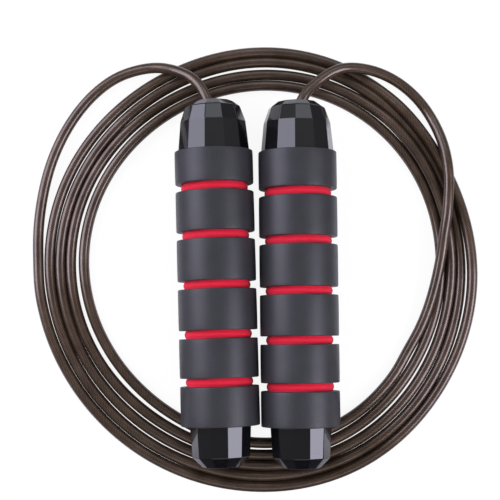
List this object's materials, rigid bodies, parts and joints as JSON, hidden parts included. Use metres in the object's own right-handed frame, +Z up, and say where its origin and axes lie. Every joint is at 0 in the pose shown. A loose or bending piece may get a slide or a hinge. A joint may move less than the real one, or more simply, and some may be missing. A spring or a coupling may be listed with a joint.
{
  "type": "jump rope",
  "caption": "Coiled skipping rope of tinted plastic cord, with black and red ringed foam grips, faceted gloss black caps and ball-bearing swivels.",
  "frame": {"origin": "floor level, at the middle of the pair of handles seen from above", "axes": "+Z up, +Y along the handles towards the ends that the rope leaves, +X from the left handle to the right handle"},
  "size_m": [0.2025, 0.2014, 0.0363],
  "materials": {
    "rope": "gloss",
    "black_foam": "matte",
    "red_foam": "matte",
    "cap_plastic": "gloss",
    "core_plastic": "satin",
    "stop_metal": "satin",
    "screw_steel": "satin",
    "bearing_steel": "polished",
    "ball_steel": "polished",
    "cage_brass": "satin",
    "washer_rubber": "matte"
  },
  "bodies": {
    "rope": {"rope_coil": "rope", "rope_left_run": "rope", "rope_right_run": "rope", "left_rope_tail": "rope", "left_rope_stop": "stop_metal", "left_stop_screw": "screw_steel", "left_thrust_washer": "screw_steel", "left_swivel_bush": "cap_plastic", "left_inner_race": "bearing_steel", "right_rope_tail": "rope", "right_rope_stop": "stop_metal", "right_stop_screw": "screw_steel", "right_thrust_washer": "screw_steel", "right_swivel_bush": "cap_plastic", "right_inner_race": "bearing_steel"},
    "left_handle": {"left_outer_race": "bearing_steel", "left_upper_shield": "screw_steel", "left_lower_shield": "screw_steel", "left_bearing_cap": "cap_plastic", "left_core_tube": "core_plastic", "left_red_sleeve": "red_foam", "left_grip_ring_1": "black_foam", "left_grip_ring_2": "black_foam", "left_grip_ring_3": "black_foam", "left_grip_ring_4": "black_foam", "left_grip_ring_5": "black_foam", "left_grip_ring_6": "black_foam"},
    "left_ball_train": {"left_bearing_balls": "ball_steel", "left_ball_cage": "cage_brass"},
    "left_washer": {"left_end_cap_washer": "washer_rubber"},
    "left_end_cap": {"left_end_cap": "cap_plastic"},
    "right_handle": {"right_outer_race": "bearing_steel", "right_upper_shield": "screw_steel", "right_lower_shield": "screw_steel", "right_bearing_cap": "cap_plastic", "right_core_tube": "core_plastic", "right_red_sleeve": "red_foam", "right_grip_ring_1": "black_foam", "right_grip_ring_2": "black_foam", "right_grip_ring_3": "black_foam", "right_grip_ring_4": "black_foam", "right_grip_ring_5": "black_foam", "right_grip_ring_6": "black_foam"},
    "right_ball_train": {"right_bearing_balls": "ball_steel", "right_ball_cage": "cage_brass"},
    "right_washer": {"right_end_cap_washer": "washer_rubber"},
    "right_end_cap": {"right_end_cap": "cap_plastic"}
  },
  "joints": [
    {"name": "left_handle_spin", "type": "hinge", "parent": "rope", "child": "left_handle", "pos_m": [-0.01947, 0.06704, 0.01728], "axis": [-0.0279, 0.9995, -0.0124], "continuous": true},
    {"name": "left_ball_orbit", "type": "hinge", "parent": "rope", "child": "left_ball_train", "pos_m": [-0.01947, 0.06704, 0.01728], "axis": [-0.0279, 0.9995, -0.0124], "continuous": true},
    {"name": "left_end_cap_advance", "type": "slide", "parent": "left_handle", "child": "left_washer", "axis": [0.0279, -0.9995, 0.0124], "range_m": [0, 0.01]},
    {"name": "left_end_cap_turn", "type": "hinge", "parent": "left_washer", "child": "left_end_cap", "pos_m": [-0.01586, -0.0624, 0.01889], "axis": [0.0279, -0.9995, 0.0124], "range_deg": [0, 1800]},
    {"name": "right_handle_spin", "type": "hinge", "parent": "rope", "child": "right_handle", "pos_m": [0.01794, 0.06668, 0.01728], "axis": [-0.0105, 0.9999, -0.0124], "continuous": true},
    {"name": "right_ball_orbit", "type": "hinge", "parent": "rope", "child": "right_ball_train", "pos_m": [0.01794, 0.06668, 0.01728], "axis": [-0.0105, 0.9999, -0.0124], "continuous": true},
    {"name": "right_end_cap_advance", "type": "slide", "parent": "right_handle", "child": "right_washer", "axis": [0.0105, -0.9999, 0.0124], "range_m": [0, 0.01]},
    {"name": "right_end_cap_turn", "type": "hinge", "parent": "right_washer", "child": "right_end_cap", "pos_m": [0.01929, -0.0628, 0.01889], "axis": [0.0105, -0.9999, 0.0124], "range_deg": [0, 1800]}
  ],
  "couplings": [
    {"joint": "left_ball_orbit", "follows": "left_handle_spin", "ratio": 0.6323},
    {"joint": "left_end_cap_turn", "follows": "left_end_cap_advance", "rad_per_m": 3141.6},
    {"joint": "right_ball_orbit", "follows": "right_handle_spin", "ratio": 0.6323},
    {"joint": "right_end_cap_turn", "follows": "right_end_cap_advance", "rad_per_m": 3141.6}
  ]
}
